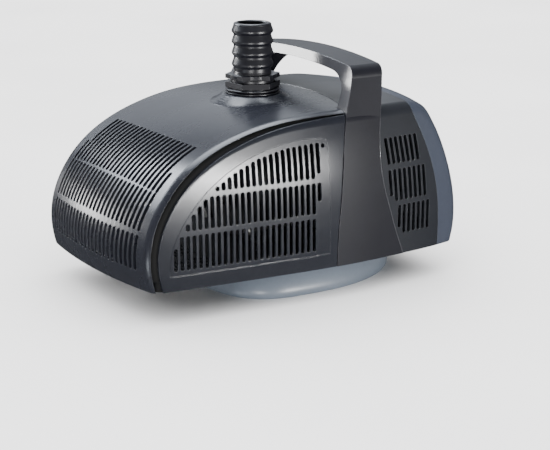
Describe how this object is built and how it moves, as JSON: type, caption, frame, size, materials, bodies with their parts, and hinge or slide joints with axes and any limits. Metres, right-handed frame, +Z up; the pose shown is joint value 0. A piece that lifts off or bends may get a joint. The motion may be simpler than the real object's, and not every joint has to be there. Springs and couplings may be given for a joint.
{
  "type": "submersible fountain pump",
  "caption": "Submersible fountain pump: rounded slotted cage on an oval foot, strap handle, barbed hose outlet on top, motor and impeller inside.",
  "frame": {"origin": "on the ground under the outlet's axis, on the flat underside of the foot", "axes": "+X from the nose to the rear cap, +Y across to the far side, +Z up along the outlet"},
  "size_m": [0.3092, 0.2026, 0.2092],
  "materials": {
    "bonnet": "satin blue-black moulded plastic",
    "side_panel": "satin blue-black moulded plastic",
    "band": "satin dark grey moulded plastic",
    "rear_shell": "satin charcoal moulded plastic",
    "rear_cap": "satin blue-grey moulded plastic",
    "foot": "satin grey moulded plastic",
    "tray": "plain black moulded plastic",
    "fitting": "gloss black moulded plastic",
    "inner_plastic": "plain black moulded plastic",
    "resin": "cast black resin",
    "rubber": "matt black rubber",
    "steel": "stainless steel screws",
    "laminations": "stacked electrical steel",
    "copper": "enamelled copper wire",
    "ceramic": "polished ceramic",
    "magnet": "ferrite magnet"
  },
  "bodies": {
    "housing": {"handle_band": "band", "rear_shell": "rear_shell", "foot": "foot", "foot_plate": "tray", "foot_screws": "steel", "base_tray": "tray", "motor_can": "inner_plastic", "rotor_well": "inner_plastic", "motor_seal": "rubber", "front_bearing_plate": "inner_plastic", "front_bush": "rubber", "rear_bush": "rubber", "stator_core": "laminations", "stator_coils": "copper", "potting_resin": "resin", "cable_gland": "rubber", "volute_chamber": "inner_plastic", "chamber_seal": "rubber", "volute_cover": "inner_plastic", "chamber_screws": "steel", "motor_cradle": "inner_plastic", "rubber_mounts": "rubber", "cradle_screws": "steel", "chamber_rest": "rubber"},
    "cover": {"front_bonnet": "bonnet", "near_side_grille": "side_panel", "far_side_grille": "side_panel", "panel_gaskets": "rubber", "outlet_riser": "fitting", "riser_seal": "rubber", "outlet_gasket": "rubber"},
    "rear_cap": {"rear_cap": "rear_cap"},
    "rotor": {"rotor_magnet": "magnet", "rotor_shaft": "ceramic", "thrust_washers": "ceramic", "impeller": "inner_plastic"},
    "union_nut": {"union_nut": "fitting"},
    "hosetail": {"hosetail": "fitting"}
  },
  "joints": [
    {"name": "cover_lift", "type": "slide", "parent": "housing", "child": "cover", "axis": [0, 0, 1], "range_m": [0, 0.015]},
    {"name": "rear_cap_pull", "type": "slide", "parent": "housing", "child": "rear_cap", "axis": [1, 0, 0], "range_m": [0, 0.06]},
    {"name": "rotor_spin", "type": "hinge", "parent": "housing", "child": "rotor", "pos_m": [0, 0, 0.08], "axis": [1, 0, 0], "continuous": true},
    {"name": "union_nut_turn", "type": "hinge", "parent": "cover", "child": "union_nut", "pos_m": [0, 0, 0.1592], "axis": [0, 0, 1], "continuous": true},
    {"name": "hosetail_turn", "type": "hinge", "parent": "cover", "child": "hosetail", "pos_m": [0, 0, 0.166], "axis": [0, 0, 1], "continuous": true}
  ]
}
